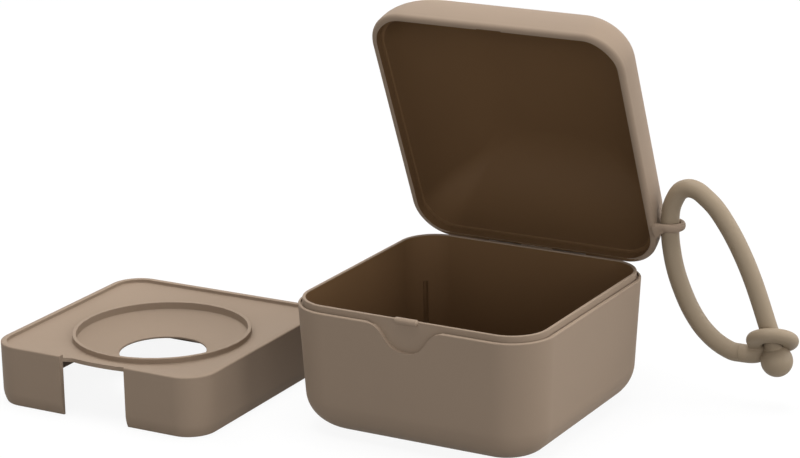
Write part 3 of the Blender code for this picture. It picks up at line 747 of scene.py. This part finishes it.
def lid_rings():
    """Rings from the lid's top over its rim to its ceiling, and the first inner one's number."""
    extra = LID_HALF_Y - LID_HALF_X
    wall = lid_wall()
    wall += arc((LID_HALF_X - RIM_ROUND, RIM + RIM_ROUND), RIM_ROUND, 0, -90, ROUND_STEPS)[1:]
    rebate = LID_HALF_X - RIM_THICK
    ledge = RIM + REBATE_DEEP
    edge = (rebate + RIM_INNER_ROUND, RIM + RIM_INNER_ROUND)
    rim = arc(edge, RIM_INNER_ROUND, -90, -180, ROUND_STEPS)
    rim += [(rebate, ledge), (rebate - REBATE_LEDGE + RIM_INNER_ROUND, ledge)]
    inside = rebate - REBATE_LEDGE
    roof = RIM + LID_HEIGHT - LID_ROOF
    inner = drafted(inside, roof - ledge - RIM_INNER_ROUND, 0, LID_DRAFT, LID_INNER_FILLET)
    inner = [(half, roof - down) for half, down in reversed(inner)]
    rings = []
    for half, height in wall:
        radius = LID_CORNER + LID_CORNER_GROWTH * (LID_HALF_X - half)
        rings.append(outline(half, half + extra, min(radius, half), height))
    for half, height in rim:
        rings.append(outline(half, half + extra, LID_CORNER - (LID_HALF_X - half), height))
    for half, height in inner:
        radius = max(LID_INNER_CORNER - CORNER_SHARE * (inside - half), LID_INNER_LEAST)
        rings.append(outline(half, half + extra, radius, height))
    return rings, len(wall) + ROUND_STEPS


def opened():
    """The move from the lid's closed place to its open one."""
    turn = Matrix.Rotation(-LID_OPEN, 4, "X")
    return Matrix.Translation(HINGE) @ turn @ Matrix.Translation(-HINGE)


def wall_at(height):
    """The half width of the lid's outer wall at a height, in its closed place."""
    wall = lid_wall()
    for (high_half, high), (low_half, low) in zip(wall, wall[1:]):
        if low <= height <= high:
            return low_half + (high_half - low_half) * (height - low) / (high - low)
    return LID_HALF_X


def eye_leg(side):
    """A straight leg's points from the wall outwards, about the eye's centre, each with its growth."""
    edge = EYE + Vector((0, side * (EYE_BEND + EYE_THICK * (1 + EYE_FLARE_SHARES[0][1])), 0))
    root = wall_at((opened().inverted() @ edge).z) - EYE_SINK - EYE.x
    leg = []
    for along, extra in EYE_FLARE_SHARES:
        height = EYE_RISE - EYE_HALF_TALL * extra
        leg.append((Vector((root * (1 - along), side * EYE_BEND, height)), extra))
    return leg


def make_eye():
    """A loop that leaves the lid's wall, goes round the cord and comes back, in a level plane."""
    line = eye_leg(-1)
    bend = arc((0, 0), EYE_BEND, -90, 90, CIRCLE_STEPS // 2)
    line += [(Vector((x, y, EYE_RISE)), 0) for x, y in bend]
    line += reversed(eye_leg(1))
    sizes = [(EYE_THICK * (1 + extra / 2), EYE_HALF_TALL * (1 + extra)) for point, extra in line]
    return tube("eye", [EYE + point for point, extra in line], Vector((0, 0, 1)), sizes)


def make_lid(look, painted_shade):
    """The lid, built closed and then opened. Its inside and the rim's downward faces at the hinge get
    the darker colour of painted shade.
    """
    rings, first = lid_rings()
    lid = loft("lid_skin", rings)
    wear(lid, look)
    wear_painted_shade_inside(lid, painted_shade, rings, first)
    # Painted shade: the rim's faces at the hinge that look down get the inside's darker colour.
    for polygon in lid.data.polygons:
        spot = polygon.center
        shaded_at_hinge = spot.y > LID_HALF_Y - RIM_THICK and spot.z < RIM + RIM_ROUND
        if shaded_at_hinge and polygon.normal.z < RIM_SHADE_LOOKS_DOWN:
            polygon.material_index = 1
    cut(lid, hinge_bar("cut_right", POCKET, MIDDLE_HALF, SIDE_END + HINGE_SLACK))
    cut(lid, hinge_bar("cut_left", POCKET, -SIDE_END - HINGE_SLACK, -MIDDLE_HALF))
    foot = [(LEAF_IN, LEAF_LOW + LEAF_TALL), (LEAF_IN, LEAF_LOW)]
    add(lid, knuckle("knuckle_middle", -MIDDLE_HALF, MIDDLE_HALF, foot))
    cut(lid, hinge_bar("cut_lid_bore", BORE_RADIUS, -MIDDLE_HALF - OVER, MIDDLE_HALF + OVER))
    cut(lid, bead("catch", CATCH_HALF, CATCH_DEEP, CATCH_HALF_TALL, LID_HALF_Y - RIM_THICK))
    lid.data.transform(Matrix.Translation((-LID_SLIP, 0, 0)) @ opened())
    add(lid, make_eye())
    soften(lid)
    dress(lid, "lid_plastic", "lid", "lid_shell")


# Insert
def insert_square(rows):
    """Rounded square outlines, which the round forms inside them follow."""
    rings = []
    for half, height in rows:
        radius = max(INSERT_CORNER - (INSERT_HALF - half), INSERT_CORNER_LEAST)
        rings.append(outline(half, half, radius, height))
    return rings


def insert_rings():
    """The insert's section as rings: up the skirt, over rim and rib, down the hole and back below."""
    tuck = []
    for step in range(2 * ROUND_STEPS + 1):
        share = 1 - step / (2 * ROUND_STEPS)
        tuck.append((SKIRT_TUCK * share**2, SKIRT_TUCK_TALL * (1 - share)))
    skirt = [(INSERT_HALF - INSERT_LEAN - inward, height) for inward, height in tuck]
    corner = (INSERT_HALF - INSERT_ROUND, INSERT_TOP - INSERT_ROUND)
    skirt += arc(corner, INSERT_ROUND, 0, 90, ROUND_STEPS)
    plate = INSERT_TOP - PLATE_DROP
    edge = INSERT_HALF - INSERT_RIM_WIDE
    skirt += arc((edge, INSERT_TOP - INSERT_RIM_BEVEL), INSERT_RIM_BEVEL, 90, 180, ROUND_STEPS)
    skirt += [(edge - INSERT_RIM_BEVEL, plate + INSERT_RIM_BEVEL), (edge - 2 * INSERT_RIM_BEVEL, plate)]
    above = insert_square(skirt)
    bowl = ((RIB_INNER + HOLE_RADIUS) / 2, (INNER_FOOT + HOLE_TOP) / 2 - BOWL_SAG)
    rows = [(RIB_OUTER + RIB_ROUND, OUTER_FOOT), (RIB_OUTER, OUTER_FOOT + RIB_ROUND)]
    rows += arc((RIB_OUTER - RIB_ROUND, RIB_TOP - RIB_ROUND), RIB_ROUND, 0, 90, ROUND_STEPS)
    rows += arc((RIB_INNER + RIB_ROUND, RIB_TOP - RIB_ROUND), RIB_ROUND, 90, 180, ROUND_STEPS)
    rows += [(RIB_INNER, INNER_FOOT + RIB_ROUND)]
    hole = HOLE_RADIUS + HOLE_ROUND
    slope = [(RIB_INNER - RIB_ROUND, INNER_FOOT), bowl, (hole, HOLE_TOP)]
    rows += [tuple(point) for point in smooth_line([Vector(point) for point in slope], BOWL_STEPS)]
    rows += arc((hole, HOLE_TOP - HOLE_ROUND), HOLE_ROUND, 90, 180, ROUND_STEPS)[1:]
    rows += arc((hole, HOLE_TOP - HOLE_THICK + HOLE_ROUND), HOLE_ROUND, 180, 270, ROUND_STEPS)
    rows += [
        (bowl[0], bowl[1] - PLATE_THICK),
        (RIB_INNER, INNER_FOOT - PLATE_THICK),
        (RIB_OUTER, OUTER_FOOT - PLATE_THICK),
    ]
    middle = [circle(radius, height, above[-1]) for radius, height in rows]
    inner = INSERT_HALF - SKIRT_THICK
    below = [(inner, plate - PLATE_THICK), (inner, 0)]
    return above + middle + insert_square(below)


def make_insert(look):
    """The insert with its front notch, put in its place beside the box."""
    insert = loft("insert_skin", insert_rings(), joined=True)
    radius = INSERT_HALF - NOTCH_DEEP
    side = NOTCH_HALF - NOTCH_ROUND
    lean = math.degrees(math.asin(side / (radius + NOTCH_ROUND)))
    corner = (side, -math.sqrt((radius + NOTCH_ROUND) ** 2 - side**2))
    notch = arc(corner, NOTCH_ROUND, 0, 90 + lean, 2 * ROUND_STEPS)
    notch += arc((0, 0), radius, lean - 90, -90, 2 * ROUND_STEPS)[1:-1]
    notch += [(0, -radius)] + [(-x, y) for x, y in reversed(notch)]
    notch += [(-NOTCH_HALF, -INSERT_HALF - OVER), (NOTCH_HALF, -INSERT_HALF - OVER)]
    cut(insert, prism("cut_notch", notch, -OVER, INSERT_TOP + OVER, "Z"))
    place = Matrix.Translation((STAND_X, STAND_Y, 0)) @ Matrix.Rotation(STAND_TURN, 4, "Z")
    insert.data.transform(place)
    soften(insert)
    wear(insert, look)
    dress(insert, "insert_plastic", "insert", "insert_tray")


# Studio
def grey(level):
    """A neutral colour."""
    return (level, level, level, 1)


def lamp(name, spot, power):
    """A round soft lamp that looks at the box."""
    data = bpy.data.lights.new(name, "AREA")
    data.shape = "DISK"
    data.size = LAMP_SIZE
    data.energy = power
    made = bpy.data.objects.new(name, data)
    bpy.context.scene.collection.objects.link(made)
    made.location = spot
    made.rotation_euler = (spot - Vector(LAMP_AIM)).to_track_quat("Z", "Y").to_euler()


def seen_directly(tree):
    """One for camera, mirror and glass rays, and zero for the light that falls on things."""
    path = tree.nodes.new("ShaderNodeLightPath")
    total = path.outputs["Is Camera Ray"]
    for name in ("Is Glossy Ray", "Is Transmission Ray"):
        more = tree.nodes.new("ShaderNodeMath")
        more.operation = "MAXIMUM"
        tree.links.new(total, more.inputs[0])
        tree.links.new(path.outputs[name], more.inputs[1])
        total = more.outputs[0]
    return total


def make_world():
    """A background that is white to look at and gives little or no light."""
    world = bpy.data.worlds.new("studio")
    world.use_nodes = True
    bpy.context.scene.world = world
    tree = world.node_tree
    level = node(tree, "ShaderNodeMapRange", To_Min=AMBIENT, To_Max=1.0)
    tree.links.new(seen_directly(tree), level.inputs["Value"])
    background = tree.nodes["Background"]
    background.inputs["Color"].default_value = grey(1)
    tree.links.new(level.outputs[0], background.inputs["Strength"])


def make_floor():
    """A wide floor, nearly white with a faint shadow, that throws less light back than it shows."""
    floor = loft("floor", [circle(FLOOR_RADIUS, FLOOR_UNDER), circle(FLOOR_RADIUS, FLOOR_TOP)])
    look = bpy.data.materials.new("floor_paint")
    look.use_nodes = True
    tree = look.node_tree
    tree.nodes.remove(tree.nodes["Principled BSDF"])
    white = node(tree, "ShaderNodeEmission", Color=grey(1), Strength=1.0)
    shaded = node(tree, "ShaderNodeBsdfDiffuse", Color=grey(FLOOR_PAINT))
    bounce = node(tree, "ShaderNodeBsdfDiffuse", Color=grey(FLOOR_BOUNCE))
    visible = node(tree, "ShaderNodeMixShader", Fac=FLOOR_SHADOW)
    tree.links.new(white.outputs[0], visible.inputs[1])
    tree.links.new(shaded.outputs[0], visible.inputs[2])
    chosen = tree.nodes.new("ShaderNodeMixShader")
    tree.links.new(seen_directly(tree), chosen.inputs["Fac"])
    tree.links.new(bounce.outputs[0], chosen.inputs[1])
    tree.links.new(visible.outputs[0], chosen.inputs[2])
    tree.links.new(chosen.outputs[0], tree.nodes["Material Output"].inputs["Surface"])
    floor.data.materials.append(look)


def make_lamps():
    """Soft lamps all round, each at its bearing and height."""
    for bearing, rise, power in LAMPS:
        around, up = math.radians(bearing), math.radians(rise)
        level = math.cos(up)
        towards = Vector((math.sin(around) * level, -math.cos(around) * level, math.sin(up)))
        lamp(f"lamp_{bearing}_{rise}", towards * LAMP_REACH, power)


# The whole scene
make_camera()
make_strap(moulded("silicone", SILICONE, (0.3, 0.1, 0.2)))
# The insides of the base and the lid get a darker copy of the plastic, which is painted shade.
make_base(
    look=moulded("box_look", OUTSIDE, (0.0, 0.0, 0.0)),
    painted_shade=moulded("box_inside_painted_shade", INSIDE_PAINTED_SHADE, (0.5, 0.0, 0.0)),
)
make_lid(
    look=moulded("lid_look", OUTSIDE, (0.7, 0.2, 0.1)),
    painted_shade=moulded("lid_inside_painted_shade", INSIDE_PAINTED_SHADE, (0.2, 0.2, 0.1)),
)
make_insert(moulded("insert_look", OUTSIDE, (0.1, 0.6, 0.4)))
make_pin(moulded("pin_look", PIN, (0.4, 0.4, 0.9)))
make_world()
make_floor()
make_lamps()
bpy.context.scene.view_settings.view_transform = "Standard"
